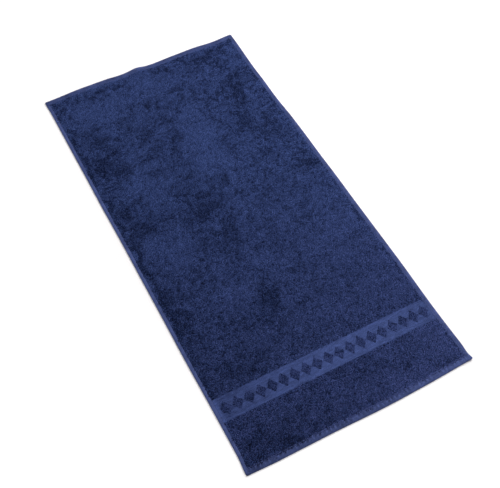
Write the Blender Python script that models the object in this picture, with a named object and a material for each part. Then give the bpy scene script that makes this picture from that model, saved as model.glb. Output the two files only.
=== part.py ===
"""A terry hand towel laid out flat, as one closed piece of cloth.

X runs across the towel, Y along it and Z up, in metres. The near end, which has
the woven band, is at -Y. The underside rests on z = 0, and the origin is the
centre of the cloth's underside.
"""

import math
from collections import namedtuple

import bmesh
import bpy
from mathutils import Matrix, Vector, noise

# The cloth, hemmed and laid out
TOWEL_WIDTH = 0.491
TOWEL_LENGTH = 1.021
HALF_WIDTH = TOWEL_WIDTH / 2
HALF_LENGTH = TOWEL_LENGTH / 2

# Height of each zone above the surface that the towel lies on
PILE_HEIGHT = 0.0038
HEM_HEIGHT = 0.0027
STITCH_HEIGHT = 0.0022
FOOT_HEIGHT = 0.0018
BAND_HEIGHT = 0.0021
MOTIF_HEIGHT = 0.0034

# Hems, measured in from the edge of the cloth
SIDE_HEM_WIDTH = 0.009
END_HEM_WIDTH = 0.0125
HEM_CREST = 0.0025
STITCH_MARGIN = 0.0012
STITCH_WIDTH = 0.0010
PILE_SLOPE = 0.0025

# The folded edge of a hem is round: its top and its foot lie a little inside its rim.
# Each corner of the cloth is rounded too.
RIM_TOP_INSET = 0.0008
RIM_FOOT_INSET = 0.0006
RIM_TOP_HEIGHT = 0.0023
RIM_HEIGHT = 0.0012
CORNER_RADIUS = 0.0032

# The woven band, measured from the near end
BAND_START = 0.110
BAND_WIDTH = 0.050
BAND_END = BAND_START + BAND_WIDTH

# Raised lozenges of pile along the middle of the band
LOZENGE_COUNT = 19
LOZENGE_PITCH = 0.0245
LOZENGE_HALF_WIDTH = 0.0115
LOZENGE_HALF_LENGTH = 0.0155
LOZENGE_FOOT_HEIGHT = 0.0010
LOZENGE_TOP_INSET = 0.0010

# The pile is never quite level: soft swells, some centimetres across
SWELL_HEIGHT = 0.00045
SWELL_LENGTH = 0.055
SWELL_SEED = Vector((3.7, 1.9, 0.0))

# Spacing of the points over the open pile, and round the ripple in the far hem
FIELD_STEP = 0.0165
RIPPLE_STEP = 0.0085

# Each edge of the cloth bows in and out by a few millimetres. A wave is centred at a place
# along its edge, fades out over its reach, and moves the edge outwards by out.
Wave = namedtuple("Wave", "at reach out")
LEFT_WAVES = (
    Wave(at=-0.510, reach=0.045, out=0.0026),
    Wave(at=-0.250, reach=0.120, out=0.0006),
    Wave(at=0.040, reach=0.100, out=-0.0004),
    Wave(at=0.170, reach=0.070, out=0.0004),
    Wave(at=0.510, reach=0.050, out=0.0012),
)
RIGHT_WAVES = (
    Wave(at=-0.513, reach=0.022, out=0.0030),
    Wave(at=-0.510, reach=0.045, out=-0.0028),
    Wave(at=-0.385, reach=0.150, out=-0.0021),
    Wave(at=0.000, reach=0.080, out=0.0005),
    Wave(at=0.140, reach=0.060, out=0.0004),
    Wave(at=0.270, reach=0.080, out=-0.0026),
    Wave(at=0.375, reach=0.120, out=-0.0026),
)
FAR_WAVES = (
    Wave(at=-0.240, reach=0.090, out=-0.0042),
    Wave(at=-0.055, reach=0.040, out=-0.0024),
    Wave(at=0.030, reach=0.060, out=-0.0036),
    Wave(at=0.085, reach=0.050, out=-0.0012),
    Wave(at=0.190, reach=0.050, out=-0.0026),
)
NEAR_WAVES = (
    Wave(at=-0.245, reach=0.065, out=-0.0018),
    Wave(at=0.045, reach=0.130, out=0.0021),
    Wave(at=0.245, reach=0.110, out=-0.0034),
)
WAVE_DEPTH = 0.060

# A fold of slack that lifts the cloth off the surface, centred at x and y
Lift = namedtuple("Lift", "x y reach_x reach_y height")
RIPPLE = Lift(x=-0.011, y=0.510, reach_x=0.024, reach_y=0.080, height=0.0028)
CORNER_LIFT = Lift(x=0.245, y=-0.510, reach_x=0.035, reach_y=0.030, height=0.0014)
LIFTS = (RIPPLE, CORNER_LIFT)

NAVY = (0.024, 0.036, 0.108, 1.0)
TERRY_ROUGHNESS = 0.95
FOLD_ANGLE = math.radians(35)

SAME_PLACE = 1e-6


def hem_section(hem_width):
    """Heights of the cloth from its edge, over a sewn hem and up the first pile, by distance in."""
    stitch = hem_width - STITCH_MARGIN
    return [
        (0.0, RIM_TOP_HEIGHT),
        (HEM_CREST, HEM_HEIGHT),
        (stitch - STITCH_WIDTH, HEM_HEIGHT),
        (stitch, STITCH_HEIGHT),
        (hem_width, FOOT_HEIGHT),
        (hem_width + PILE_SLOPE, PILE_HEIGHT),
    ]


def mirrored(section, length):
    return [(length - place, height) for place, height in reversed(section)]


def band_section():
    """Heights down from the pile onto the woven band and up again, by distance from the near end."""
    return [
        (BAND_START - PILE_SLOPE, PILE_HEIGHT),
        (BAND_START, FOOT_HEIGHT),
        (BAND_START + PILE_SLOPE, BAND_HEIGHT),
        (BAND_END - PILE_SLOPE, BAND_HEIGHT),
        (BAND_END, FOOT_HEIGHT),
        (BAND_END + PILE_SLOPE, PILE_HEIGHT),
    ]


SIDE_HEM = hem_section(SIDE_HEM_WIDTH)
END_HEM = hem_section(END_HEM_WIDTH)
ACROSS_SECTION = SIDE_HEM + mirrored(SIDE_HEM, TOWEL_WIDTH)
ALONG_SECTION = END_HEM + band_section() + mirrored(END_HEM, TOWEL_LENGTH)


def section_height(section, place):
    """The section's height at a place, straight from one of its points to the next."""
    for (start, low), (end, high) in zip(section, section[1:]):
        if place <= end:
            return low + (high - low) * (place - start) / (end - start)
    return section[-1][1]


def grid_lines(places, step):
    """The given places with evenly spaced lines added, none further than step from the next."""
    places = sorted(places)
    lines = [places[0]]
    for start, end in zip(places, places[1:]):
        parts = max(1, math.ceil((end - start) / step - SAME_PLACE))
        lines += [start + (end - start) * part / parts for part in range(1, parts + 1)]
    return lines


def lines_across():
    places = [place - HALF_WIDTH for place, _ in ACROSS_SECTION]
    ripple_start = RIPPLE.x - RIPPLE.reach_x
    ripple = grid_lines([ripple_start, RIPPLE.x, RIPPLE.x + RIPPLE.reach_x], RIPPLE_STEP)
    return grid_lines(places + ripple, FIELD_STEP)


def lines_along():
    places = [place - HALF_LENGTH for place, _ in ALONG_SECTION]
    return grid_lines(places, FIELD_STEP)


def fade(distance, reach):
    """1 at no distance, falling smoothly to 0 at the reach."""
    if abs(distance) >= reach:
        return 0.0
    return (1 + math.cos(math.pi * distance / reach)) / 2


def edge_shift(waves, place):
    return sum(wave.out * fade(place - wave.at, wave.reach) for wave in waves)


def lift(x, y):
    return sum(
        fold.height * fade(x - fold.x, fold.reach_x) * fade(y - fold.y, fold.reach_y)
        for fold in LIFTS
    )


def laid_out(x, y, z):
    """Where a point of the straight-edged cloth comes to lie on the surface."""
    right = edge_shift(RIGHT_WAVES, y) * fade(HALF_WIDTH - x, WAVE_DEPTH)
    left = edge_shift(LEFT_WAVES, y) * fade(HALF_WIDTH + x, WAVE_DEPTH)
    far = edge_shift(FAR_WAVES, x) * fade(HALF_LENGTH - y, WAVE_DEPTH)
    near = edge_shift(NEAR_WAVES, x) * fade(HALF_LENGTH + y, WAVE_DEPTH)
    return Vector((x + right - left, y + far - near, z + lift(x, y)))


def inset_point(point, inset):
    """The point, moved in where it lies outside the rounded rectangle that is inset from the edges."""
    x_limit = HALF_WIDTH - CORNER_RADIUS
    y_limit = HALF_LENGTH - CORNER_RADIUS
    core = Vector((min(max(point.x, -x_limit), x_limit), min(max(point.y, -y_limit), y_limit)))
    outwards = point.xy - core
    reach = min(outwards.length, CORNER_RADIUS - inset)
    return core + outwards.normalized() * reach


def top_point(flat):
    across = section_height(ACROSS_SECTION, flat.x + HALF_WIDTH)
    along = section_height(ALONG_SECTION, flat.y + HALF_LENGTH)
    height = min(across, along)
    pile = max(0.0, height - HEM_HEIGHT) / (PILE_HEIGHT - HEM_HEIGHT)
    swell = SWELL_HEIGHT * noise.noise(Vector((flat.x, flat.y, 0.0)) / SWELL_LENGTH + SWELL_SEED)
    return laid_out(*inset_point(flat, RIM_TOP_INSET), height + pile * swell)


def rim_point(flat):
    return laid_out(*inset_point(flat, 0.0), RIM_HEIGHT)


def under_point(flat):
    return laid_out(*inset_point(flat, RIM_FOOT_INSET), 0.0)


def flat_grid(columns, rows):
    """A flat grid of faces with its lines across and along at the given places."""
    grid = bmesh.new()
    last_column = len(columns) - 1
    last_row = len(rows) - 1
    bmesh.ops.create_grid(grid, x_segments=last_column, y_segments=last_row, size=1.0)
    for vert in grid.verts:
        column = round((vert.co.x + 1) / 2 * last_column)
        row = round((vert.co.y + 1) / 2 * last_row)
        vert.co = Vector((columns[column], rows[row], 0.0))
    return grid


def cloth_mesh():
    """The closed cloth: a top and an underside from one grid, joined by a rounded rim.

    The flat block that it starts as is two layers thick, so that each point's layer can be
    read from its height: 2 on top, 1 round the rim and 0 underneath.
    """
    cloth = flat_grid(lines_across(), lines_along())
    grown = bmesh.ops.extrude_face_region(cloth, geom=list(cloth.faces))
    raised = [item for item in grown["geom"] if isinstance(item, bmesh.types.BMVert)]
    bmesh.ops.translate(cloth, vec=(0.0, 0.0, 2.0), verts=raised)
    uprights = [edge for edge in cloth.edges if edge.verts[0].co.z != edge.verts[1].co.z]
    bmesh.ops.subdivide_edges(cloth, edges=uprights, cuts=1)
    places = (under_point, rim_point, top_point)
    for vert in cloth.verts:
        vert.co = places[round(vert.co.z)](vert.co)
    bmesh.ops.recalc_face_normals(cloth, faces=list(cloth.faces))
    return cloth


def centring_shift(cloth):
    """The move that brings the middle of the cloth's box over the origin."""
    xs = [vert.co.x for vert in cloth.verts]
    ys = [vert.co.y for vert in cloth.verts]
    return Vector((-(min(xs) + max(xs)) / 2, -(min(ys) + max(ys)) / 2, 0.0))


def add_lozenge(pattern, x, y):
    """A low four-sided block whose foot is sunk in the cloth and whose top is drawn in."""
    rise = MOTIF_HEIGHT - LOZENGE_FOOT_HEIGHT
    place = Matrix.Translation((x, y, LOZENGE_FOOT_HEIGHT + rise / 2))
    size = Matrix.Diagonal((LOZENGE_HALF_WIDTH, LOZENGE_HALF_LENGTH, 1.0, 1.0))
    bmesh.ops.create_cone(
        pattern,
        cap_ends=True,
        segments=4,
        radius1=1.0,
        radius2=1.0 - LOZENGE_TOP_INSET / LOZENGE_HALF_WIDTH,
        depth=rise,
        matrix=place @ size,
    )


def motif_mesh():
    """The row of lozenges, evenly spaced about the middle of the band."""
    pattern = bmesh.new()
    y = (BAND_START + BAND_END) / 2 - HALF_LENGTH
    for number in range(LOZENGE_COUNT):
        x = (number - (LOZENGE_COUNT - 1) / 2) * LOZENGE_PITCH
        add_lozenge(pattern, x, y)
    return pattern


def new_object(name, shape, collection):
    mesh = bpy.data.meshes.new(name)
    shape.to_mesh(mesh)
    shape.free()
    made = bpy.data.objects.new(name, mesh)
    collection.objects.link(made)
    return made


def new_collection(name):
    collection = bpy.data.collections.new(name)
    bpy.context.scene.collection.children.link(collection)
    return collection


def terry_material():
    material = bpy.data.materials.new("navy_terry")
    material.use_nodes = True
    shader = material.node_tree.nodes["Principled BSDF"]
    shader.inputs["Base Color"].default_value = NAVY
    shader.inputs["Roughness"].default_value = TERRY_ROUGHNESS
    shader.inputs["Metallic"].default_value = 0.0
    material.diffuse_color = NAVY
    return material


def clear_scene():
    for old in list(bpy.data.objects):
        bpy.data.objects.remove(old, do_unlink=True)


def build_towel():
    parts = new_collection("hand_towel")
    helpers = new_collection("hand_towel_helpers")

    cloth = cloth_mesh()
    shift = centring_shift(cloth)
    bmesh.ops.translate(cloth, vec=shift, verts=list(cloth.verts))
    towel = new_object("towel", cloth, parts)
    towel.data.materials.append(terry_material())

    motifs = motif_mesh()
    bmesh.ops.translate(motifs, vec=shift, verts=list(motifs.verts))
    pattern = new_object("band_motifs", motifs, helpers)
    pattern.hide_render = True
    pattern.display_type = "WIRE"

    raised = towel.modifiers.new("raised motifs", "BOOLEAN")
    raised.operation = "UNION"
    raised.object = pattern
    towel.data.shade_smooth()
    towel.data.set_sharp_from_angle(angle=FOLD_ANGLE)


clear_scene()
build_towel()
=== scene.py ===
"""The looks of a navy terry hand towel that lies flat, built on the towel's solid.

The cloth itself is a closed sheet with sewn hems and a ribbed band. Its pile is real loops
of yarn, and the hems' threads are real stitches. Lengths are in metres, in the towel's own
frame: X across it, Y along it with the band at -Y, and Z up from the surface it lies on.
"""

from collections import namedtuple

import bpy
import numpy as np
from mathutils import Euler, Matrix, Vector


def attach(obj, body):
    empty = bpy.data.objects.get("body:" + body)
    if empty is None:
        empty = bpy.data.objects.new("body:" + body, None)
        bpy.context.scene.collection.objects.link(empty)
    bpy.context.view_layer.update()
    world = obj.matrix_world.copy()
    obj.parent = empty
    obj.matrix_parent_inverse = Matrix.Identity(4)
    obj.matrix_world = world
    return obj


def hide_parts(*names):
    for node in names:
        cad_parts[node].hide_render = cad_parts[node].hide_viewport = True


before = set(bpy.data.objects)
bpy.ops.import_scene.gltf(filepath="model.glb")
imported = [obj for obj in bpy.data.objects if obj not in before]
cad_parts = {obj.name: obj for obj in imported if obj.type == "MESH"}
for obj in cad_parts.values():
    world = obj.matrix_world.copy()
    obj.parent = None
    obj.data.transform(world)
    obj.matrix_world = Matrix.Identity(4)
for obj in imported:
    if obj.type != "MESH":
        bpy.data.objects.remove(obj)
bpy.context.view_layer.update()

# The cloth, hemmed and laid out
TOWEL_WIDTH = 0.491
TOWEL_LENGTH = 1.021
HALF_WIDTH = TOWEL_WIDTH / 2
HALF_LENGTH = TOWEL_LENGTH / 2

# Heights above the surface: the loops' tips, and the woven cloth in each zone
PILE_HEIGHT = 0.0038
GROUND_HEIGHT = 0.0022
HEM_HEIGHT = 0.0027
STITCH_HEIGHT = 0.0021
BAND_HEIGHT = 0.0021
MOTIF_GROUND_HEIGHT = 0.0026
MOTIF_HEIGHT = 0.0037

# Hems, measured in from the edge of the cloth. They are rounded down towards the edge, with
# lines of points across the rounding, and the stitches run in a groove. Further in, the hem
# slopes down to the pile's ground.
SIDE_HEM_WIDTH = 0.009
END_HEM_WIDTH = 0.0125
HEM_ROUND = 0.0042
HEM_ROUND_DROP = 0.0009
HEM_ROUND_LINES = (0.0, 0.0012, 0.0026, HEM_ROUND)
STITCH_MARGIN = 0.0016
STITCH_DIP = 0.0009
HEM_DROP = 0.0012
# The hems pucker, most at PUCKER_CREST of the way in from the edge to the stitches
PUCKER_SIZE = 0.0085
PUCKER_HEIGHT = 0.00050
PUCKER_CREST = 0.55

# How far the pile reaches onto each hem and onto the band. Its border wanders in and out, and
# does so less along the left hem and the near one.
PILE_ON_LEFT = 0.0014
PILE_ON_RIGHT = 0.0004
PILE_ON_NEAR = 0.0032
PILE_ON_FAR = 0.0006
PILE_ON_BAND = -0.0004
PILE_WANDER = 0.0011
WANDER_SIZE = 0.007
LEFT_WANDER_SHARE = 0.3
NEAR_WANDER_SHARE = 0.5

# The folded edge of a hem is round: rings from the top's border down, as inset and height
RIM_TOP_INSET = 0.0009
RIM_RINGS = ((0.0003, 0.0019), (0.0, 0.0014), (0.0002, 0.0006))
RIM_FOOT_INSET = 0.0007
CORNER_RADIUS = 0.0032

# The woven band, measured from the near end, and its fine ribs
BAND_START = 0.110
BAND_WIDTH = 0.050
BAND_END = BAND_START + BAND_WIDTH
BAND_MIDDLE = (BAND_START + BAND_END) / 2 - HALF_LENGTH
RIB_PITCH = 0.0020
RIB_HEIGHT = 0.00016

# Lozenges of pile along the middle of the band. The ground under each is smaller at its top
# than at its foot, and the loops stand a little inside its outline.
LOZENGE_COUNT = 19
LOZENGE_PITCH = 0.0245
LOZENGE_HALF_WIDTH = 0.0115
LOZENGE_HALF_LENGTH = 0.0155
LOZENGE_TOP_SHARE = 0.9
LOZENGE_PILE_SHARE = 0.97
LOZENGES_X = (np.arange(LOZENGE_COUNT) - (LOZENGE_COUNT - 1) / 2) * LOZENGE_PITCH

# How the edges bow, as in the solid: where, how far to each side, and how far out
Wave = namedtuple("Wave", "at reach out")
LEFT_WAVES = (
    Wave(at=-0.510, reach=0.045, out=0.0026),
    Wave(at=-0.250, reach=0.120, out=0.0006),
    Wave(at=0.040, reach=0.100, out=-0.0004),
    Wave(at=0.170, reach=0.070, out=0.0004),
    Wave(at=0.510, reach=0.050, out=0.0012),
)
RIGHT_WAVES = (
    Wave(at=-0.513, reach=0.022, out=0.0030),
    Wave(at=-0.510, reach=0.045, out=-0.0028),
    Wave(at=-0.385, reach=0.150, out=-0.0021),
    Wave(at=0.000, reach=0.080, out=0.0005),
    Wave(at=0.140, reach=0.060, out=0.0004),
    Wave(at=0.270, reach=0.080, out=-0.0026),
    Wave(at=0.375, reach=0.120, out=-0.0026),
)
FAR_WAVES = (
    Wave(at=-0.240, reach=0.090, out=-0.0042),
    Wave(at=-0.055, reach=0.040, out=-0.0024),
    Wave(at=0.030, reach=0.060, out=-0.0036),
    Wave(at=0.085, reach=0.050, out=-0.0012),
    Wave(at=0.190, reach=0.050, out=-0.0026),
)
NEAR_WAVES = (
    Wave(at=-0.245, reach=0.065, out=-0.0018),
    Wave(at=0.045, reach=0.130, out=0.0021),
    Wave(at=0.245, reach=0.110, out=-0.0034),
)
# How far in from its edge a wave is felt, and the shift that centres the bowed cloth
WAVE_DEPTH = 0.060
CENTRING = (0.00105, 0.00105, 0.0)
# Where the cloth lifts off the surface, as in the solid
Lift = namedtuple("Lift", "x y reach_x reach_y height")
LIFTS = (
    Lift(x=-0.011, y=0.510, reach_x=0.024, reach_y=0.080, height=0.0028),
    Lift(x=0.245, y=-0.510, reach_x=0.035, reach_y=0.030, height=0.0014),
)

# Spacing of the sheet's points, and the relief of its underside
FIELD_STEP = 0.0065
UNDERSIDE_RELIEF = 0.00022
UNDERSIDE_GRAIN = 0.0042
# The sheet's finishes, in the order of its materials
GROUND_SLOT, HEM_SLOT, BAND_SLOT, UNDERSIDE_SLOT = range(4)

# The pile's loops: their spacing, the yarn's radius at a loop's feet and tip, how deep the feet
# are sunk in the cloth, and how far above them the tip is at least
LOOP_PITCH = 0.0027
MOTIF_LOOP_PITCH = 0.0021
LOOP_JITTER = 0.42
LOOP_HALF_SPAN = 0.00105
LOOP_FOOT_RADIUS = 0.00070
LOOP_TIP_RADIUS = 0.00090
LOOP_SIDES = 3
LOOP_SINK = 0.0003
LEAST_LOOP_RISE = 0.0006
# How unevenly they stand. A loop is lower by a share of its lean, and where its foot is on the
# side of a hem, its tip rises by a share of what the foot does.
LOOP_TURN = 0.8
LOOSE_LEAN = 0.0010
HEIGHT_SPREAD = 0.00038
LEAN_DROP = 0.35
ON_HEM_RISE = 0.3
# On the lozenges, the yarn is thinner and the loops stand more evenly, by these shares
MOTIF_YARN_SHARE = 0.85
MOTIF_LEAN_SHARE = 0.5
MOTIF_SPREAD_SHARE = 0.4
# The pile is so many pieces. Their patterns are mapped as seen from above at a slight tilt.
PILE_PIECES = 5
MAP_TILT = (0.35, 0.25)

# The pile's lay: 1 lies over along LAY_WAY, where painted sheen makes the yarn lighter, and -1
# the other way, where painted shade makes it darker. It varies in layers, each with the size of
# its patches and its share.
LAY_WAY = (0.84, 0.54)
LAY_LEAN = 0.0009
LAYS = ((0.036, 0.22), (0.018, 0.36), (0.009, 0.50), (0.0045, 0.66))
# How strong these layers are, and how far single loops stray from them, at the near end and at
# the far end
LAY_STRENGTH = (0.8, 1.45)
LOOSE_LAY = (0.60, 0.44)
# On the lozenges: the middle of the lay, whose painted shade darkens them, and the share of its
# variation that is left
MOTIF_LAY = (-0.35, 0.8)
# Tufts: size, how far the loops lean together, and how much lower the pile is between them.
# The lean follows the tufts' slope, measured over a step of 1 / TUFT_STEPS of their size.
TUFTS = ((0.0090, 0.0012, 0.0003), (0.0048, 0.0010, 0.0003))
TUFT_STEPS = 10
TUFT_SLOPE_GAIN = 2.5

# Where a hand or a fold has brushed the pile: drifts made pale by painted sheen first, then
# drifts made dark by painted shade. Their borders wander.
PATCH_WANDER = 0.018
PATCH_WANDER_SIZE = 0.035
Patch = namedtuple("Patch", "x y reach_x reach_y lay")
PATCHES = (
    Patch(0.025, 0.230, 0.070, 0.150, 1.2),
    Patch(-0.140, 0.410, 0.070, 0.070, 1.3),
    Patch(-0.015, 0.425, 0.110, 0.050, 1.0),
    Patch(-0.130, 0.160, 0.080, 0.080, 1.0),
    Patch(-0.165, 0.010, 0.065, 0.070, 0.9),
    Patch(-0.095, -0.155, 0.050, 0.050, 1.0),
    Patch(0.215, -0.435, 0.070, 0.080, 1.0),
    Patch(0.140, -0.485, 0.120, 0.040, 0.9),
    # A pale strip of painted light along the right hem
    Patch(0.236, 0.000, 0.014, 0.900, 0.7),
    Patch(0.229, -0.455, 0.020, 0.055, 1.3),
    Patch(0.020, 0.095, 0.045, 0.045, 0.4),
    Patch(0.080, -0.375, 0.250, 0.025, 0.4),
    Patch(-0.050, 0.497, 0.300, 0.022, 1.0),
    Patch(0.175, -0.130, 0.080, 0.220, 0.5),
    Patch(0.220, -0.320, 0.045, 0.060, 0.5),
    Patch(0.172, 0.335, 0.070, 0.060, -1.1),
    Patch(0.172, 0.215, 0.080, 0.060, -0.5),
    Patch(0.160, 0.470, 0.100, 0.040, -1.0),
    Patch(-0.180, 0.360, 0.045, 0.060, -0.6),
    Patch(-0.195, 0.265, 0.065, 0.065, -1.4),
    Patch(-0.045, 0.270, 0.060, 0.060, -0.8),
    Patch(0.075, 0.285, 0.055, 0.045, -0.3),
    Patch(0.065, 0.185, 0.045, 0.045, -0.35),
    Patch(-0.188, 0.062, 0.070, 0.055, -1.4),
    Patch(-0.050, 0.065, 0.060, 0.060, -1.2),
    Patch(-0.035, -0.045, 0.055, 0.090, -0.8),
    Patch(0.140, -0.002, 0.130, 0.050, -0.35),
    Patch(-0.102, 0.040, 0.035, 0.045, -0.5),
    Patch(-0.102, -0.055, 0.035, 0.045, -0.4),
    Patch(-0.095, -0.225, 0.060, 0.055, -0.4),
    Patch(-0.040, -0.210, 0.050, 0.080, -0.9),
    # A dark strip of painted shade beside the left hem
    Patch(-0.237, 0.000, 0.009, 0.900, -1.5),
    Patch(-0.215, -0.170, 0.050, 0.150, -1.0),
    Patch(-0.145, -0.315, 0.080, 0.055, -0.8),
    Patch(-0.225, -0.350, 0.040, 0.040, -0.5),
    Patch(-0.185, -0.465, 0.085, 0.065, -0.7),
    Patch(-0.100, -0.495, 0.130, 0.040, -0.6),
)

# Sewing thread: how far a stitch strays from its line, and its path, as shares of its length
# along it and of its rise above the bottom of the groove
STITCH_LENGTH = 0.0029
STITCH_PITCH = 0.0036
STITCH_TURN = 0.05
STITCH_STEPS = (-0.5, -0.3, 0.0, 0.3, 0.5)
STITCH_RISES = (-1.0, 0.4, 0.8, 0.4, -1.0)
THREAD_RADIUS = 0.00024
THREAD_RISE = 0.00032
THREAD_SIDES = 4

# Random draws: their seeds, from which the lay's layers and the tufts count on, and the
# lattice that the smooth noise is drawn on
UNDERSIDE_SEED = 5
LOOP_SEED = 11
YARN_SEED = 12
MOTIF_LOOP_SEED = 13
STITCH_SEED = 14
LAY_SEED = 31
PATCH_SEED_X = 41
PATCH_SEED_Y = 42
TUFT_SEED = 51
PUCKER_SEED = 61
WANDER_SEED = 71
LATTICE_SIZE = 512
LATTICE_ORIGIN = 128.5

# Far below any detail: the margin where places are compared, and the least to divide by
ROUNDING = 1e-6
# Yarn is turned at random about its path, from a guide that rises by this share
GUIDE_RISE = 0.3

# Colours, as linear red, green and blue
YARN_DARK = (0.0049, 0.0098, 0.0391)
YARN_MIDDLE = (0.0377, 0.0634, 0.1900)
YARN_LIGHT = (0.0497, 0.0832, 0.2440)
GROUND_DARK = (0.0076, 0.0142, 0.0491)
GROUND_LIGHT = (0.0436, 0.0763, 0.2398)
BAND_DARK = (0.0021, 0.0053, 0.0318)
BAND_LIGHT = (0.0747, 0.1171, 0.3350)
HEM_DARK = (0.0221, 0.0327, 0.0967)
HEM_LIGHT = (0.0718, 0.1021, 0.2732)
THREAD_DARK = (0.0259, 0.0389, 0.1145)
THREAD_LIGHT = (0.0432, 0.0626, 0.1771)

# The yarn's shade, as a share of the way from dark to light: painted shade at a loop's feet and
# painted light at its tip, the painted sheen and shade that its lay adds, and what its uneven dye
# adds
FOOT_PAINTED_SHADE = 0.30
TIP_PAINTED_LIGHT = 1.12
LAY_PAINTED_SHEEN = 0.74
DYE_SHADE = 0.19
DYE_PATCH = 0.0034
# The near end's pile is redder. The tint is full at the near end and gone at this y.
NEAR_TINT = (1.11, 0.91, 0.92)
NEAR_TINT_END = 0.1
# The fine twist in the yarn
TWIST_PITCH = 0.0006
TWIST_WOBBLE = 1.5
TWIST_DEPTH = 0.00005

# Pile without single loops: cells of yarn, longer along the towel, with painted shade in the
# creases between them
CELL_STRETCH = 0.7
CREASE_START = 0.75
CELL_DYE_PATCH = 0.004
CELL_DYE_SHADES = (0.55, 1.2)

# How much painted light or shade each hem has, as a share of the way from dark to light: in its
# middle, how much lighter it is painted from its outer to its inner side, and how much lighter
# it is painted along it, towards the right or the far end. It ends at so many widths in. Every
# place counts as hem by at least the least weight, so that the mean can be taken everywhere.
PaintedLight = namedtuple("PaintedLight", "level inward along")
HEM_PAINTED_LIGHT = {
    "left": PaintedLight(level=0.27, inward=0.05, along=-0.02),
    "right": PaintedLight(level=-0.03, inward=0.04, along=-0.26),
    "near": PaintedLight(level=0.00, inward=0.24, along=0.38),
    "far": PaintedLight(level=-0.16, inward=0.0, along=0.0),
}
HEM_PAINTED_LIGHT_END = 1.5
LEAST_WEIGHT = 0.001
# The same painted light and shade for the band: in its middle, how much lighter it grows to the
# right, and how much darker it falls to both sides
BAND_LEVEL = 0.07
BAND_PAINTED_GROWTH = 0.07
BAND_PAINTED_DIMMING = 0.7

# The flat weave: the painted light that puckers add to its shade and the painted shade between
# its threads, the threads themselves, and its mottling, which is noise of two sizes, each with
# its share
PUCKER_PAINTED_LIGHT = 0.25
WEAVE_PAINTED_SHADE = 0.2
WEAVE_PITCH = 0.0008
WEAVE_WOBBLE = 0.6
WEAVE_DEPTH = 0.00016
MOTTLE_PATCH = 0.009
MOTTLE_PATCH_SHARE = 0.9
MOTTLE_GRAIN = 0.0032
MOTTLE_GRAIN_SHARE = 1.1
MOTTLE_RANGE = (0.65, 1.35)
MOTTLE_SHADES = (0.25, 0.75)
# Puffs of cloth between the stitches of the near hem, painted on as highlights with painted
# shade between, each differently.
# They begin where the rounding ends and are whole from PUFF_START in from the edge.
PUFF_PITCH = 0.0092
PUFF_START = 0.0058
PUFF_RANGE = (0.3, 1.0)
PUFF_PAINTED_LIGHT = (-0.28, 0.30)
PUFF_PATCH = 0.006
PUFF_PATCH_RANGE = (0.35, 0.65)
PUFF_SHARES = (0.2, 1.6)

# Where most of a noise texture's values lie, and a wave texture's scale for one ridge a metre,
# which is a twentieth of 2 pi
NOISE_RANGE = (0.3, 0.7)
RIDGE_SCALE = 0.314159

# Studio
FLOOR_SIZE = 120.0
FLOOR_DROP = 0.0002
FLOOR_LEVEL = 0.95
FLOOR_ROUGHNESS = 0.95
SKY_COLOUR = (1.06, 0.975, 0.975)
SKY_STRENGTH = 0.22
# Low over the floor the sky is as white as the floor: how bright, and up to what height
HORIZON_STRENGTH = 1.0
HORIZON_SHARES = (0.05, 0.25)
KEY_PLACE = (1.22, 0.45, 1.39)
KEY_SIZE = 2.2
KEY_POWER = 60.5
# The floor glows more the further it is from the key light's pool, so that it stays evenly
# white: distance from the pool's centre, and glow
POOL_CENTRE = (0.73, 0.27, 0.0)
FLOOR_GLOW = ((0.80, 0.00), (1.00, 0.09), (1.20, 0.22), (1.40, 0.36), (1.70, 0.62), (2.00, 0.80))

# Camera: its turn is in degrees about X, Y and Z, from looking straight down
CAMERA_PLACE = (-0.50076, -0.97694, 1.51475)
CAMERA_TURN = (34.2850, -0.3644, -27.9957)
CAMERA_LENS = 63.064
SENSOR_WIDTH = 36.0
CAMERA_REACH = 50.0


# ---------------------------------------------------------------- shape of the cloth


def fade(distance, reach):
    """1 at no distance, falling smoothly to 0 at the reach."""
    return np.where(np.abs(distance) < reach, (1 + np.cos(np.pi * distance / reach)) / 2, 0.0)


def edge_shift(waves, place):
    """How far out the edge with these waves is, at a place along it."""
    return sum(wave.out * fade(place - wave.at, wave.reach) for wave in waves)


def lift(x, y):
    """How far the cloth is lifted off the surface."""
    return sum(
        fold.height * fade(x - fold.x, fold.reach_x) * fade(y - fold.y, fold.reach_y)
        for fold in LIFTS
    )


def in_frame(points):
    """Points (x, y, z) of the straight-edged cloth, laid out and centred as the solid is."""
    x, y, z = points.T
    right = edge_shift(RIGHT_WAVES, y) * fade(HALF_WIDTH - x, WAVE_DEPTH)
    left = edge_shift(LEFT_WAVES, y) * fade(HALF_WIDTH + x, WAVE_DEPTH)
    far = edge_shift(FAR_WAVES, x) * fade(HALF_LENGTH - y, WAVE_DEPTH)
    near = edge_shift(NEAR_WAVES, x) * fade(HALF_LENGTH + y, WAVE_DEPTH)
    laid_out = np.stack([x + right - left, y + far - near, z + lift(x, y)], axis=1)
    return laid_out + CENTRING


def from_end_to_end(y, values):
    """The value at y, on the way from the near end's value to the far end's."""
    return np.interp(y, (-HALF_LENGTH, HALF_LENGTH), values)


def eased(share):
    """The share from 0 to 1, with a soft start and end."""
    return share * share * (3 - 2 * share)


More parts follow.
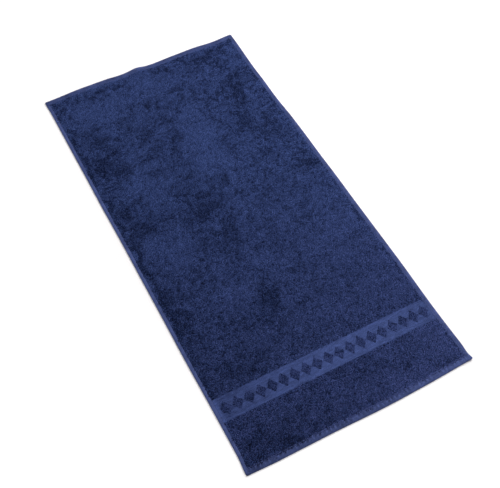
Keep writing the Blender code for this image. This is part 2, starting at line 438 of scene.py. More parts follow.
def soft_noise(x, y, size, seed):
    """Smooth random values between -1 and 1 that change over about size."""
    lattice = np.random.default_rng(seed).uniform(-1, 1, (LATTICE_SIZE, LATTICE_SIZE))
    u = x / size + LATTICE_ORIGIN
    v = y / size + LATTICE_ORIGIN
    column = np.floor(u).astype(int)
    row = np.floor(v).astype(int)
    s = eased(u - column)
    t = eased(v - row)
    left = column % LATTICE_SIZE
    right = (column + 1) % LATTICE_SIZE
    near = row % LATTICE_SIZE
    far = (row + 1) % LATTICE_SIZE
    near_side = lattice[near, left] * (1 - s) + lattice[near, right] * s
    far_side = lattice[far, left] * (1 - s) + lattice[far, right] * s
    return near_side * (1 - t) + far_side * t


# ---------------------------------------------------------------- meshes


def add_values(piece, name, values):
    """Gives the piece a number at each of its points, which its finish can read."""
    attribute = piece.data.attributes.new(name, "FLOAT", "POINT")
    attribute.data.foreach_set("value", np.ascontiguousarray(values, np.float32))


def add_map(piece, u, v):
    """Gives the piece a flat map of its patterns, with its points' u and v stretched to fill it."""
    corners = np.empty(len(piece.data.loops), np.int32)
    piece.data.loops.foreach_get("vertex_index", corners)
    places = np.stack([(value - value.min()) / np.ptp(value) for value in (u, v)], axis=1)
    layer = piece.data.uv_layers.new(name="OFBake")
    layer.uv.foreach_set("vector", np.ascontiguousarray(places[corners], np.float32).ravel())


def new_piece(name, points, faces, materials, slots=None):
    """A smooth-shaded mesh piece of quads that rides on the towel."""
    mesh = bpy.data.meshes.new(name)
    mesh.vertices.add(len(points))
    mesh.vertices.foreach_set("co", np.ascontiguousarray(points, np.float32).ravel())
    mesh.loops.add(faces.size)
    mesh.loops.foreach_set("vertex_index", np.ascontiguousarray(faces, np.int32).ravel())
    mesh.polygons.add(len(faces))
    mesh.polygons.foreach_set("loop_start", np.arange(0, faces.size, 4, dtype=np.int32))
    for material in materials:
        mesh.materials.append(material)
    if slots is not None:
        mesh.polygons.foreach_set("material_index", np.ascontiguousarray(slots, np.int32))
    mesh.update(calc_edges=True)
    mesh.shade_smooth()
    piece = bpy.data.objects.new(name, mesh)
    bpy.context.scene.collection.objects.link(piece)
    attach(piece, "root")
    return piece


def repeated(pattern, copies, points_each):
    """The pattern's faces for each copy. The copies' points follow one another."""
    return (np.arange(copies)[:, None, None] * points_each + pattern).reshape(-1, 4)


def tube_points(paths, radii, sides, rng):
    """Rings of points round each path. paths is count x stops x 3, radii count x stops."""
    count = len(paths)
    ahead = np.gradient(paths, axis=1)
    ahead /= np.linalg.norm(ahead, axis=2, keepdims=True)
    turn = rng.uniform(0, 2 * np.pi, count)
    guide = np.stack([np.cos(turn), np.sin(turn), np.full(count, GUIDE_RISE)], axis=1)
    side = np.cross(ahead, guide[:, None, :])
    side /= np.linalg.norm(side, axis=2, keepdims=True)
    other = np.cross(ahead, side)
    angles = np.arange(sides) * 2 * np.pi / sides
    ring = (
        np.cos(angles)[None, None, :, None] * side[:, :, None, :]
        + np.sin(angles)[None, None, :, None] * other[:, :, None, :]
    )
    return paths[:, :, None, :] + radii[:, :, None, None] * ring


def tube_faces(rings, sides):
    """The faces of one tube, whose points are in rings."""
    faces = []
    for ring in range(rings - 1):
        for side in range(sides):
            here = ring * sides + side
            beside = ring * sides + (side + 1) % sides
            faces.append((here, beside, beside + sides, here + sides))
    return np.array(faces)


# ---------------------------------------------------------------- the sheet


def spaced(places, step):
    """The given places in order, with evenly spaced ones added, none further apart than step."""
    places = sorted(set(places))
    lines = [places[:1]]
    for start, end in zip(places, places[1:]):
        parts = max(1, int(np.ceil((end - start) / step - ROUNDING)))
        lines.append(np.linspace(start, end, parts + 1)[1:])
    return np.concatenate(lines)


def hem_places(width):
    """Distances in from the edge at which the sheet needs points across a hem."""
    stitch = width - STITCH_MARGIN
    dips = [stitch - STITCH_DIP, stitch, stitch + STITCH_DIP]
    return [*HEM_ROUND_LINES, PUFF_START, *dips, width, width + HEM_DROP]


def sheet_lines():
    """Where the sheet's lines of points are, across the towel and along it."""
    side = hem_places(SIDE_HEM_WIDTH)
    end = hem_places(END_HEM_WIDTH)
    across = [d - HALF_WIDTH for d in side] + [HALF_WIDTH - d for d in side]
    ends = [d - HALF_LENGTH for d in end] + [HALF_LENGTH - d for d in end]
    ribs = np.arange(BAND_START, BAND_END + RIB_PITCH / 4, RIB_PITCH / 2) - HALF_LENGTH
    return spaced(across, FIELD_STEP), spaced(ends + list(ribs), FIELD_STEP)


def hem_height(distance, width, pucker):
    """Height of the cloth over a hem, by distance in from its edge, down to the pile's ground."""
    stitch = width - STITCH_MARGIN
    crest_place = stitch * PUCKER_CREST
    crest = fade(distance - crest_place, crest_place)
    dip = (HEM_HEIGHT - STITCH_HEIGHT) * fade(distance - stitch, STITCH_DIP)
    rim = HEM_ROUND_DROP * (1 - np.clip(distance / HEM_ROUND, 0, 1)) ** 2
    crown = HEM_HEIGHT + PUCKER_HEIGHT * pucker * crest - dip - rim
    drop = np.clip((distance - width) / HEM_DROP, 0, 1)
    return crown * (1 - drop) + GROUND_HEIGHT * drop


def sheet_top(x, y):
    """Height of the woven cloth, without its pile."""
    side = HALF_WIDTH - np.abs(x)
    end = HALF_LENGTH - np.abs(y)
    along = y + HALF_LENGTH
    on_band = (along > BAND_START - ROUNDING) & (along < BAND_END + ROUNDING)
    ribs = RIB_HEIGHT * np.cos(2 * np.pi * (along - BAND_START) / RIB_PITCH)
    ground = np.where(on_band, BAND_HEIGHT + ribs, GROUND_HEIGHT)
    pucker = soft_noise(x, y, PUCKER_SIZE, PUCKER_SEED)
    side_hem = hem_height(side, SIDE_HEM_WIDTH, pucker)
    end_hem = hem_height(end, END_HEM_WIDTH, pucker)
    return np.maximum(ground, np.maximum(side_hem, end_hem))


def underside(x, y):
    """Height of the underside over the surface: nearly flat, with a shallow grain."""
    grain = 0.5 + 0.5 * soft_noise(x, y, UNDERSIDE_GRAIN, UNDERSIDE_SEED)
    side = np.clip((HALF_WIDTH - np.abs(x)) / SIDE_HEM_WIDTH, 0, 1)
    end = np.clip((HALF_LENGTH - np.abs(y)) / END_HEM_WIDTH, 0, 1)
    return UNDERSIDE_RELIEF * grain * side * end


def rounded(x, y, inset):
    """Points moved in where they lie outside the rounded rectangle inset from the edges."""
    core_x = np.clip(x, CORNER_RADIUS - HALF_WIDTH, HALF_WIDTH - CORNER_RADIUS)
    core_y = np.clip(y, CORNER_RADIUS - HALF_LENGTH, HALF_LENGTH - CORNER_RADIUS)
    out_x = x - core_x
    out_y = y - core_y
    reach = np.hypot(out_x, out_y)
    scale = np.minimum(reach, CORNER_RADIUS - inset) / np.maximum(reach, ROUNDING)
    return core_x + out_x * scale, core_y + out_y * scale


def grid_faces(columns, rows, start, turned):
    """The faces of a grid of points, whose first point is number start."""
    low = (np.arange(rows - 1)[:, None] * columns + np.arange(columns - 1)[None, :]).ravel()
    corners = np.stack([low, low + 1, low + columns + 1, low + columns], axis=1)
    return start + (corners[:, ::-1] if turned else corners)


def border(columns, rows):
    """The grid's border points in order, anticlockwise seen from above."""
    low = np.arange(columns)
    right = np.arange(1, rows) * columns + columns - 1
    high = (rows - 1) * columns + np.arange(columns - 2, -1, -1)
    left = np.arange(rows - 2, 0, -1) * columns
    return np.concatenate([low, right, high, left])


def flat_painted_light(x, y):
    """How much painted light or shade each place of the flat cloth has, for the hem or the band it
    is on and on its puckers.
    """
    hems = {
        "left": ((HALF_WIDTH + x) / SIDE_HEM_WIDTH, y / TOWEL_LENGTH),
        "right": ((HALF_WIDTH - x) / SIDE_HEM_WIDTH, y / TOWEL_LENGTH),
        "near": ((HALF_LENGTH + y) / END_HEM_WIDTH, x / TOWEL_WIDTH),
        "far": ((HALF_LENGTH - y) / END_HEM_WIDTH, x / TOWEL_WIDTH),
    }
    shade = np.zeros_like(x)
    weight = np.full_like(x, LEAST_WEIGHT)
    for side, (share_in, share_along) in hems.items():
        painted = HEM_PAINTED_LIGHT[side]
        nearness = np.clip(HEM_PAINTED_LIGHT_END - share_in, 0, 1)
        inward = painted.inward * (np.clip(share_in, 0, 1) - 0.5)
        shade += nearness * (painted.level + inward + painted.along * share_along)
        weight += nearness
    puckers = PUCKER_PAINTED_LIGHT * soft_noise(x, y, PUCKER_SIZE, PUCKER_SEED)
    across = x / TOWEL_WIDTH
    band = BAND_LEVEL + BAND_PAINTED_GROWTH * across - BAND_PAINTED_DIMMING * across**2
    on_hem = np.minimum(weight, 1)
    return on_hem * (shade / weight + puckers) + (1 - on_hem) * band


def puff_share(y):
    """1 on the inner part of the near hem, falling to 0 at its rounded edge."""
    distance = HALF_LENGTH + y
    share = np.clip((distance - HEM_ROUND) / (PUFF_START - HEM_ROUND), 0, 1)
    return np.where(distance < END_HEM_WIDTH + HEM_DROP, share, 0.0)


def top_slots(across, along):
    """Which finish each face of the top has."""
    x, y = np.meshgrid((across[1:] + across[:-1]) / 2, (along[1:] + along[:-1]) / 2)
    left = HALF_WIDTH + x < SIDE_HEM_WIDTH - PILE_ON_LEFT
    right = HALF_WIDTH - x < SIDE_HEM_WIDTH + HEM_DROP
    ends = HALF_LENGTH - np.abs(y) < END_HEM_WIDTH + HEM_DROP
    hem = left | right | ends
    band = (y + HALF_LENGTH > BAND_START) & (y + HALF_LENGTH < BAND_END)
    return np.where(hem, HEM_SLOT, np.where(band, BAND_SLOT, GROUND_SLOT)).ravel()


def build_sheet(materials):
    """The cloth as one closed piece: its top, its underside, and the round rim between."""
    across, along = sheet_lines()
    columns = len(across)
    rows = len(along)
    count = columns * rows
    x, y = (grid.ravel() for grid in np.meshgrid(across, along))
    layers = [
        np.stack([*rounded(x, y, RIM_TOP_INSET), sheet_top(x, y)], axis=1),
        np.stack([*rounded(x, y, RIM_FOOT_INSET), underside(x, y)], axis=1),
    ]
    ring = border(columns, rows)
    chain = [ring]
    for number, (inset, height) in enumerate(RIM_RINGS):
        ring_x, ring_y = rounded(x[ring], y[ring], inset)
        layers.append(np.stack([ring_x, ring_y, np.full(len(ring), height)], axis=1))
        chain.append(2 * count + number * len(ring) + np.arange(len(ring)))
    chain.append(count + ring)
    top = grid_faces(columns, rows, start=0, turned=False)
    under = grid_faces(columns, rows, start=count, turned=True)
    walls = [
        np.stack([lower, np.roll(lower, -1), np.roll(upper, -1), upper], axis=1)
        for upper, lower in zip(chain, chain[1:])
    ]
    above = top_slots(across, along)
    below = np.where(above == GROUND_SLOT, UNDERSIDE_SLOT, above)
    around = np.full(len(walls) * len(ring), HEM_SLOT)
    points = np.concatenate(layers)
    faces = np.concatenate([top, under, *walls])
    slots = np.concatenate([above, below, around])
    piece = new_piece("cloth", in_frame(points), faces, materials, slots)
    add_values(piece, "shade", flat_painted_light(points[:, 0], points[:, 1]))
    add_values(piece, "puffs", puff_share(points[:, 1]))
    return piece


# ---------------------------------------------------------------- the band's lozenges


def build_motif_grounds(material):
    """The raised cloth under the lozenges' loops, as one joined piece."""
    tips = np.array([(1, 0), (0, 1), (-1, 0), (0, -1)])
    corners = tips * (LOZENGE_HALF_WIDTH, LOZENGE_HALF_LENGTH)
    foot = np.column_stack([corners, np.full(4, BAND_HEIGHT - RIB_HEIGHT)])
    top = np.column_stack([corners * LOZENGE_TOP_SHARE, np.full(4, MOTIF_GROUND_HEIGHT)])
    middles = np.array([(x, BAND_MIDDLE, 0.0) for x in LOZENGES_X])
    points = (middles[:, None, :] + np.concatenate([foot, top])).reshape(-1, 3)
    sides = [(side, (side + 1) % 4, 4 + (side + 1) % 4, 4 + side) for side in range(4)]
    faces = repeated(np.array([*sides, (4, 5, 6, 7)]), LOZENGE_COUNT, points_each=8)
    piece = new_piece("motif_grounds", in_frame(points), faces, [material])
    piece.data.shade_flat()
    return piece


def in_lozenges(x, y):
    """True on the band's lozenges. x and y are on the straight-edged cloth."""
    number = np.clip(np.rint((x - LOZENGES_X[0]) / LOZENGE_PITCH), 0, LOZENGE_COUNT - 1)
    across = np.abs(x - LOZENGES_X[0] - number * LOZENGE_PITCH) / LOZENGE_HALF_WIDTH
    return across + np.abs(y - BAND_MIDDLE) / LOZENGE_HALF_LENGTH < LOZENGE_PILE_SHARE


# ---------------------------------------------------------------- the pile


def staggered(pitch, seed):
    """Places in staggered rows over the whole cloth, a little jittered."""
    rng = np.random.default_rng(seed)
    row_gap = pitch * np.sqrt(3) / 2
    column, row = np.meshgrid(
        np.arange(int(TOWEL_WIDTH / pitch)), np.arange(int(TOWEL_LENGTH / row_gap))
    )
    x = ((column + 0.5 * (row % 2)) * pitch - HALF_WIDTH).ravel()
    y = (row * row_gap - HALF_LENGTH).ravel()
    x = x + rng.uniform(-LOOP_JITTER, LOOP_JITTER, x.shape) * pitch
    y = y + rng.uniform(-LOOP_JITTER, LOOP_JITTER, y.shape) * row_gap
    return x, y


def on_field(x, y):
    """True where the pile stands: inside the hems and off the band, with an uneven border."""
    wander = PILE_WANDER * soft_noise(x, y, WANDER_SIZE, WANDER_SEED)
    left = (HALF_WIDTH + x - SIDE_HEM_WIDTH + PILE_ON_LEFT) / LEFT_WANDER_SHARE
    right = HALF_WIDTH - x - SIDE_HEM_WIDTH + PILE_ON_RIGHT
    near = (HALF_LENGTH + y - END_HEM_WIDTH + PILE_ON_NEAR) / NEAR_WANDER_SHARE
    far = HALF_LENGTH - y - END_HEM_WIDTH + PILE_ON_FAR
    along = y + HALF_LENGTH
    off_band = np.maximum(BAND_START - along, along - BAND_END) + PILE_ON_BAND
    return np.minimum.reduce([left, right, near, far, off_band]) > wander


def loop_places():
    """Where all the loops stand on the straight-edged cloth, and which are on the lozenges."""
    x, y = staggered(LOOP_PITCH, LOOP_SEED)
    field = on_field(x, y)
    motif_x, motif_y = staggered(MOTIF_LOOP_PITCH, MOTIF_LOOP_SEED)
    motif = in_lozenges(motif_x, motif_y)
    x = np.concatenate([x[field], motif_x[motif]])
    y = np.concatenate([y[field], motif_y[motif]])
    on_motif = np.arange(len(x)) >= np.count_nonzero(field)
    order = np.argsort(y, kind="stable")
    return x[order], y[order], on_motif[order]


def pile_lay(x, y):
    """How the pile lies at these places: 1 over along LAY_WAY, -1 the other way."""
    strength = from_end_to_end(y, LAY_STRENGTH)
    x = x + PATCH_WANDER * soft_noise(x, y, PATCH_WANDER_SIZE, PATCH_SEED_X)
    y = y + PATCH_WANDER * soft_noise(x, y, PATCH_WANDER_SIZE, PATCH_SEED_Y)
    layers = [
        share * soft_noise(x, y, size, LAY_SEED + number)
        for number, (size, share) in enumerate(LAYS)
    ]
    brushed = sum(
        patch.lay * fade(x - patch.x, patch.reach_x) * fade(y - patch.y, patch.reach_y)
        for patch in PATCHES
    )
    return brushed + strength * sum(layers)


def loop_lay(x, y, on_motif, rng):
    """How each loop lies: as the pile does around it, and a little its own way."""
    strays = from_end_to_end(y, LOOSE_LAY) * (1 - rng.exponential(1.0, len(x)))
    lay = pile_lay(x, y) + strays
    motif_level, motif_share = MOTIF_LAY
    return np.where(on_motif, motif_level + motif_share * lay, lay)


def tufts(x, y):
    """How far the loops' tips lean together, in x and y, and how much they rise, in metres."""
    lean_x = np.zeros_like(x)
    lean_y = np.zeros_like(x)
    rise = np.zeros_like(x)
    for number, (size, lean, height) in enumerate(TUFTS):
        seed = TUFT_SEED + number
        step = size / TUFT_STEPS
        slope_x = soft_noise(x + step, y, size, seed) - soft_noise(x - step, y, size, seed)
        slope_y = soft_noise(x, y + step, size, seed) - soft_noise(x, y - step, size, seed)
        lean_x += TUFT_SLOPE_GAIN * lean * slope_x
        lean_y += TUFT_SLOPE_GAIN * lean * slope_y
        rise += height * soft_noise(x, y, size, seed)
    return np.stack([lean_x, lean_y], axis=1), rise


def loop_paths(x, y, on_motif, lay, rng):
    """Each loop's path: from one foot over its tip to its other foot."""
    count = len(x)
    lean, rise = tufts(x, y)
    lean += lay[:, None] * LAY_LEAN * np.array(LAY_WAY) + rng.normal(0, LOOSE_LEAN, (count, 2))
    lean *= np.where(on_motif, MOTIF_LEAN_SHARE, 1.0)[:, None]
    turn = np.pi / 2 + rng.normal(0, LOOP_TURN, count)
    span = np.stack([np.cos(turn), np.sin(turn)], axis=1) * LOOP_HALF_SPAN
    on_hem = np.maximum(sheet_top(x, y) - GROUND_HEIGHT, 0)
    full = np.where(on_motif, MOTIF_HEIGHT, PILE_HEIGHT + ON_HEM_RISE * on_hem) - LOOP_TIP_RADIUS
    foot = np.where(on_motif, MOTIF_GROUND_HEIGHT, GROUND_HEIGHT + on_hem) - LOOP_SINK
    spread = np.where(on_motif, MOTIF_SPREAD_SHARE, 1.0)
    uneven = spread * (rise + rng.normal(0, HEIGHT_SPREAD, count))
    tip = full + uneven - LEAN_DROP * np.hypot(*lean.T)
    tip = np.maximum(tip, foot + LEAST_LOOP_RISE)
    place = np.stack([x, y], axis=1)
    stops = [
        np.column_stack([place - span, foot]),
        np.column_stack([place + lean, tip]),
        np.column_stack([place + span, foot]),
    ]
    return np.stack(stops, axis=1)


def pile_piece(name, loops, lay, material):
    """One joined piece of loops. loops is count x points x 3, and lay is how each one lies."""
    count, points_each, _ = loops.shape
    points = in_frame(loops.reshape(-1, 3))
    pattern = tube_faces(points_each // LOOP_SIDES, LOOP_SIDES)
    faces = repeated(pattern, count, points_each)
    # Upper faces come last, as they are to be the ones seen where faces overlap on the map.
    faces = faces[np.argsort(points[faces, 2].sum(axis=1), kind="stable")]
    piece = new_piece(name, points, faces, [material])
    # The yarn's finish paints sheen and shade from how each loop lies
    add_values(piece, "lay", np.repeat(lay, points_each))
    x, y, z = points.T
    tilt_u, tilt_v = MAP_TILT
    add_map(piece, x + tilt_u * z, y + tilt_v * z)
    return piece


def build_pile(material):
    """All the loops, as a few joined pieces along the towel."""
    rng = np.random.default_rng(YARN_SEED)
    x, y, on_motif = loop_places()
    lay = loop_lay(x, y, on_motif, rng)
    paths = loop_paths(x, y, on_motif, lay, rng)
    yarn = np.where(on_motif, MOTIF_YARN_SHARE, 1.0)
    radii = yarn[:, None] * np.array([LOOP_FOOT_RADIUS, LOOP_TIP_RADIUS, LOOP_FOOT_RADIUS])
    loops = tube_points(paths, radii, LOOP_SIDES, rng).reshape(len(x), -1, 3)
    shares = zip(np.array_split(loops, PILE_PIECES), np.array_split(lay, PILE_PIECES))
    return [
        pile_piece(f"pile_{number}", its_loops, its_lay, material)
        for number, (its_loops, its_lay) in enumerate(shares, start=1)
    ]


# ---------------------------------------------------------------- the stitches


def stitch_places():
    """The middle of each stitch along the four hems, and the way it runs, in x and y."""
    side = HALF_WIDTH - (SIDE_HEM_WIDTH - STITCH_MARGIN)
    end = HALF_LENGTH - (END_HEM_WIDTH - STITCH_MARGIN)
    along = np.arange(-end, end, STITCH_PITCH)
    across = np.arange(-side, side, STITCH_PITCH)
    middles = []
    ways = []
    for sign in (-1, 1):
        middles.append(np.column_stack([np.full_like(along, sign * side), along]))
        ways.append(np.tile((0.0, 1.0), (len(along), 1)))
        middles.append(np.column_stack([across, np.full_like(across, sign * end)]))
        ways.append(np.tile((1.0, 0.0), (len(across), 1)))
    return np.concatenate(middles), np.concatenate(ways)


def build_stitches(material):
    """The running stitches that hold the four hems, as one joined piece."""
    rng = np.random.default_rng(STITCH_SEED)
    middles, ways = stitch_places()
    count = len(middles)
    stops = len(STITCH_STEPS)
    ways = ways + rng.normal(0, STITCH_TURN, (count, 2))
    steps = np.array(STITCH_STEPS) * STITCH_LENGTH
    heights = STITCH_HEIGHT + THREAD_RISE * np.array(STITCH_RISES)
    flat = middles[:, None, :] + steps[None, :, None] * ways[:, None, :]
    high = np.broadcast_to(heights[None, :, None], (count, stops, 1))
    paths = np.concatenate([flat, high], axis=2)
    radii = np.full((count, stops), THREAD_RADIUS)
    points = tube_points(paths, radii, THREAD_SIDES, rng).reshape(-1, 3)
    faces = repeated(tube_faces(stops, THREAD_SIDES), count, stops * THREAD_SIDES)
    return new_piece("stitches", in_frame(points), faces, [material])


# ---------------------------------------------------------------- finishes


class Finish:
    """A cloth material whose nodes read the place on the towel."""

    def __init__(self, name, roughness, specular):
        self.material = bpy.data.materials.new(name)
        self.material.use_nodes = True
        self.tree = self.material.node_tree
        self.shader = self.tree.nodes["Principled BSDF"]
        self.mean_roughness = roughness
        self.shader.inputs["Roughness"].default_value = roughness
        self.shader.inputs["Specular IOR Level"].default_value = specular
        self.place = self.add("ShaderNodeTexCoord").outputs["Object"]

    def add(self, kind, **settings):
        node = self.tree.nodes.new(kind)
        for name, value in settings.items():
            setattr(node, name, value)
        return node

    def join(self, source, target):
        self.tree.links.new(source, target)

    def values(self, name):
        """The numbers that a piece has at its points under that name."""
        return self.add("ShaderNodeAttribute", attribute_name=name).outputs["Fac"]

    def scaled_place(self, scale):
        mapping = self.add("ShaderNodeMapping")
        mapping.inputs["Scale"].default_value = scale
        self.join(self.place, mapping.inputs["Vector"])
        return mapping.outputs["Vector"]

    def noise(self, size, detail=2.0, stretch=(1.0, 1.0, 1.0)):
        """Noise between 0 and 1 whose patches are about size across, times stretch."""
        place = self.scaled_place([1 / (size * share) for share in stretch])
        texture = self.add("ShaderNodeTexNoise")
        texture.inputs["Scale"].default_value = 1.0
        texture.inputs["Detail"].default_value = detail
        self.join(place, texture.inputs["Vector"])
        return texture.outputs["Fac"]

    def wave(self, pitch, direction, wobble):
        """Ridges at that pitch in the X, Y or DIAGONAL direction, between 0 and 1."""
        texture = self.add("ShaderNodeTexWave", wave_type="BANDS", bands_direction=direction)
        texture.inputs["Scale"].default_value = RIDGE_SCALE / pitch
        texture.inputs["Distortion"].default_value = wobble
        texture.inputs["Detail"].default_value = 1.0
        self.join(self.place, texture.inputs["Vector"])
        return texture.outputs["Fac"]

    def spread(self, value, source, target):
        """Takes the source's range of values to the target's, and no further."""
        node = self.add("ShaderNodeMapRange")
        ends = zip(("From Min", "From Max", "To Min", "To Max"), (*source, *target))
        for name, end in ends:
            node.inputs[name].default_value = end
        self.join(value, node.inputs["Value"])
        return node.outputs["Result"]

    def maths(self, operation, first, second):
        """Either value can be a float or another node's output."""
        node = self.add("ShaderNodeMath", operation=operation)
        for number, value in enumerate((first, second)):
            if isinstance(value, float):
                node.inputs[number].default_value = value
            else:
                self.join(value, node.inputs[number])
        return node.outputs["Value"]

    def colour(self, share, *shades):
        """The base colour runs through the shades, evenly spaced, as share goes from 0 to 1."""
        ramp = self.add("ShaderNodeValToRGB")
        stops = ramp.color_ramp.elements
        for number, shade in enumerate(shades):
            # A new ramp has two stops.
            stop = stops[number] if number < 2 else stops.new(1.0)
            stop.position = number / (len(shades) - 1)
            stop.color = (*shade, 1.0)
        self.join(share, ramp.inputs["Fac"])
        self.join(ramp.outputs["Color"], self.shader.inputs["Base Color"])

    def tint(self, share, shade):
        """Multiplies the base colour by the shade, by as much as share says."""
        mix = self.add("ShaderNodeMix", data_type="RGBA", blend_type="MULTIPLY")
        base = self.shader.inputs["Base Color"]
        self.join(share, mix.inputs["Factor"])
        self.join(base.links[0].from_socket, mix.inputs["A"])
        mix.inputs["B"].default_value = (*shade, 1.0)
        self.join(mix.outputs["Result"], base)

    def vary_roughness(self, patch, by):
        """Makes it rougher or smoother by that much, in patches of that size."""
        roughness = (self.mean_roughness - by, self.mean_roughness + by)
        varied = self.spread(self.noise(patch), NOISE_RANGE, roughness)
        self.join(varied, self.shader.inputs["Roughness"])

    def bump(self, height, distance):
        node = self.add("ShaderNodeBump")
        node.inputs["Distance"].default_value = distance
        self.join(height, node.inputs["Height"])
        self.join(node.outputs["Normal"], self.shader.inputs["Normal"])


def yarn_finish():
    """Soft cotton yarn: painted shade at a loop's feet and painted light at its tip, painted sheen
    and shade by its lay, with uneven dye and a fine twist.
    """
    finish = Finish("pile_yarn", roughness=0.90, specular=0.08)
    split = finish.add("ShaderNodeSeparateXYZ")
    finish.join(finish.place, split.inputs["Vector"])
    levels = (GROUND_HEIGHT, PILE_HEIGHT)
    height = finish.spread(split.outputs["Z"], levels, (FOOT_PAINTED_SHADE, TIP_PAINTED_LIGHT))
    laid = finish.maths("MULTIPLY", finish.values("lay"), LAY_PAINTED_SHEEN)
    dye = finish.spread(finish.noise(DYE_PATCH), NOISE_RANGE, (-DYE_SHADE, DYE_SHADE))
    share = finish.maths("ADD", height, finish.maths("ADD", laid, dye))
    finish.colour(share, YARN_DARK, YARN_MIDDLE, YARN_LIGHT)
    nearness = finish.spread(split.outputs["Y"], (-HALF_LENGTH, NEAR_TINT_END), (1.0, 0.0))
    finish.tint(nearness, NEAR_TINT)
    finish.vary_roughness(patch=0.006, by=0.08)
    finish.bump(finish.wave(TWIST_PITCH, "DIAGONAL", TWIST_WOBBLE), TWIST_DEPTH)
    return finish.material


def under_pile_finish(name, pitch, relief):
    """Loops too close to tell apart: round bumps of yarn, with painted shade in the creases between
    them.
    """
    finish = Finish(name, roughness=0.92, specular=0.08)
    place = finish.scaled_place((1 / pitch, CELL_STRETCH / pitch, 1 / pitch))
    cells = finish.add("ShaderNodeTexVoronoi")
    cells.inputs["Scale"].default_value = 1.0
    finish.join(place, cells.inputs["Vector"])
    share = finish.spread(cells.outputs["Distance"], (0.0, CREASE_START), (1.0, 0.0))
    dye = finish.spread(finish.noise(CELL_DYE_PATCH), NOISE_RANGE, CELL_DYE_SHADES)
    finish.colour(finish.maths("MULTIPLY", share, dye), GROUND_DARK, GROUND_LIGHT)
    finish.bump(share, relief)
    return finish.material


def mottling(finish, streaks):
    """A shade between dark and light that varies in patches and in a finer grain."""
    patches = finish.noise(MOTTLE_PATCH, detail=3.0, stretch=streaks)
    grain = finish.noise(MOTTLE_GRAIN, stretch=streaks)
    patches = finish.maths("MULTIPLY", patches, MOTTLE_PATCH_SHARE)
    grain = finish.maths("MULTIPLY", grain, MOTTLE_GRAIN_SHARE)
    return finish.spread(finish.maths("ADD", patches, grain), MOTTLE_RANGE, MOTTLE_SHADES)


def painted_puffs(finish):
    """A row of uneven painted puffs where the cloth is puffed: painted highlights on top, painted
    shade between.
    """
    row = finish.spread(finish.wave(PUFF_PITCH, "X", 0.0), PUFF_RANGE, PUFF_PAINTED_LIGHT)
    patches = finish.noise(PUFF_PATCH, detail=1.0)
    uneven = finish.spread(patches, PUFF_PATCH_RANGE, PUFF_SHARES)
    return finish.maths("MULTIPLY", finish.values("puffs"), finish.maths("MULTIPLY", row, uneven))


def weave_finish(name, streaks, dark, light):
    """Flat weave: fine crossing threads with painted shade between them, a shade that varies in
    streaks, and painted light and shade by place.
    """
    finish = Finish(name, roughness=0.865, specular=0.12)
    across = finish.wave(WEAVE_PITCH, "X", WEAVE_WOBBLE)
    along = finish.wave(WEAVE_PITCH, "Y", WEAVE_WOBBLE)
    threads = finish.maths("MAXIMUM", across, along)
    weave = finish.spread(threads, (0.0, 1.0), (-WEAVE_PAINTED_SHADE, WEAVE_PAINTED_SHADE / 2))
    uneven = finish.maths("ADD", mottling(finish, streaks), weave)
    by_place = finish.maths("ADD", finish.values("shade"), painted_puffs(finish))
    finish.colour(finish.maths("ADD", uneven, by_place), dark, light)
    finish.vary_roughness(patch=0.005, by=0.085)
    finish.bump(threads, WEAVE_DEPTH)
    return finish.material


def thread_finish():
    """Sewing thread, smoother than the cloth, with a fine twist."""
    finish = Finish("sewing_thread", roughness=0.70, specular=0.20)
    finish.colour(finish.noise(size=0.0025), THREAD_DARK, THREAD_LIGHT)
    finish.bump(finish.wave(pitch=0.0004, direction="DIAGONAL", wobble=0.5), distance=0.00004)
    return finish.material


# ---------------------------------------------------------------- stage, lights and camera


def grey(level):
    return (level, level, level, 1.0)


def glow_by_distance(tree, shader):
    """Makes the surface glow by its distance from the key light's pool."""
    place = tree.nodes.new("ShaderNodeTexCoord")
    distance = tree.nodes.new("ShaderNodeVectorMath")
    distance.operation = "DISTANCE"
    distance.inputs[1].default_value = POOL_CENTRE
    (nearest, first_glow), *further = FLOOR_GLOW
    furthest = FLOOR_GLOW[-1][0]
    share = tree.nodes.new("ShaderNodeMath")
    share.operation = "DIVIDE"
    share.inputs[1].default_value = furthest
    ramp = tree.nodes.new("ShaderNodeValToRGB")
    stops = ramp.color_ramp.elements
    stops.remove(stops[1])
    stops[0].position = nearest / furthest
    stops[0].color = grey(first_glow)
    for away, glow in further:
        stops.new(away / furthest).color = grey(glow)
    tree.links.new(place.outputs["Object"], distance.inputs[0])
    tree.links.new(distance.outputs["Value"], share.inputs[0])
    tree.links.new(share.outputs["Value"], ramp.inputs["Fac"])
    tree.links.new(ramp.outputs["Color"], shader.inputs["Emission Color"])
    shader.inputs["Emission Strength"].default_value = 1.0


def build_stage():
    """A matt white floor under the towel."""
    half = FLOOR_SIZE / 2
    corners = [(-half, -half, 0), (half, -half, 0), (half, half, 0), (-half, half, 0)]
    mesh = bpy.data.meshes.new("floor")
    mesh.from_pydata(corners, [], [(0, 1, 2, 3)])
    material = bpy.data.materials.new("floor_white")
    material.use_nodes = True
    shader = material.node_tree.nodes["Principled BSDF"]
    shader.inputs["Base Color"].default_value = grey(FLOOR_LEVEL)
    shader.inputs["Roughness"].default_value = FLOOR_ROUGHNESS
    shader.inputs["Specular IOR Level"].default_value = 0.0
    glow_by_distance(material.node_tree, shader)
    mesh.materials.append(material)
    floor = bpy.data.objects.new("floor", mesh)
    floor.location.z = -FLOOR_DROP
    bpy.context.scene.collection.objects.link(floor)


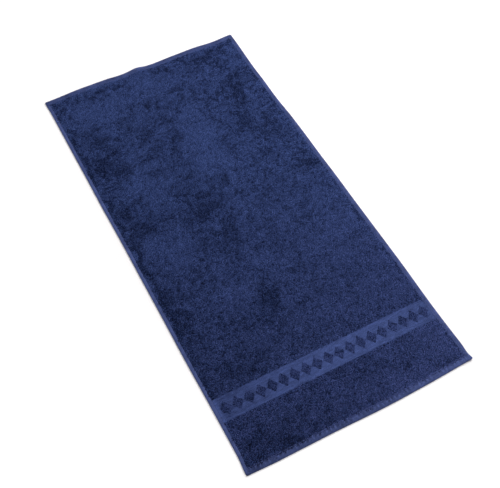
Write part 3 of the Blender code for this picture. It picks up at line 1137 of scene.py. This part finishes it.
def build_sky():
    """A dim, even sky over a white horizon."""
    world = bpy.data.worlds.new("studio")
    world.use_nodes = True
    tree = world.node_tree
    place = tree.nodes.new("ShaderNodeTexCoord")
    split = tree.nodes.new("ShaderNodeSeparateXYZ")
    ramp = tree.nodes.new("ShaderNodeValToRGB")
    low, high = ramp.color_ramp.elements
    low.position, high.position = HORIZON_SHARES
    low.color = grey(HORIZON_STRENGTH)
    high.color = (*[SKY_STRENGTH * part for part in SKY_COLOUR], 1.0)
    tree.links.new(place.outputs["Generated"], split.inputs["Vector"])
    tree.links.new(split.outputs["Z"], ramp.inputs["Fac"])
    tree.links.new(ramp.outputs["Color"], tree.nodes["Background"].inputs["Color"])
    bpy.context.scene.world = world


def build_key_light():
    """A large soft light from the right, aimed at the middle of the towel."""
    data = bpy.data.lights.new("key", "AREA")
    data.energy = KEY_POWER
    data.size = KEY_SIZE
    light = bpy.data.objects.new("key", data)
    light.location = KEY_PLACE
    light.rotation_euler = (-Vector(KEY_PLACE)).to_track_quat("-Z", "Y").to_euler()
    bpy.context.scene.collection.objects.link(light)


def build_camera():
    """The photo's view, with colours shown as they are lit."""
    data = bpy.data.cameras.new("camera")
    data.lens = CAMERA_LENS
    data.sensor_width = SENSOR_WIDTH
    data.clip_end = CAMERA_REACH
    camera = bpy.data.objects.new("camera", data)
    turn = Euler(np.radians(CAMERA_TURN)).to_matrix()
    camera.matrix_world = Matrix.Translation(CAMERA_PLACE) @ turn.to_4x4()
    bpy.context.scene.collection.objects.link(camera)
    bpy.context.scene.camera = camera
    bpy.context.scene.view_settings.view_transform = "Standard"


ground = under_pile_finish("terry_ground", pitch=0.0017, relief=0.0008)
hem = weave_finish("hem_weave", streaks=(1.0, 1.0, 1.0), dark=HEM_DARK, light=HEM_LIGHT)
band = weave_finish("band_weave", streaks=(2.5, 0.6, 1.0), dark=BAND_DARK, light=BAND_LIGHT)
under = under_pile_finish("terry_underside", pitch=0.0024, relief=0.0007)
cloth = build_sheet([ground, hem, band, under])
yarn = yarn_finish()
details = [build_motif_grounds(ground), build_stitches(thread_finish()), *build_pile(yarn)]
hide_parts("towel")

build_stage()
build_sky()
build_key_light()
build_camera()
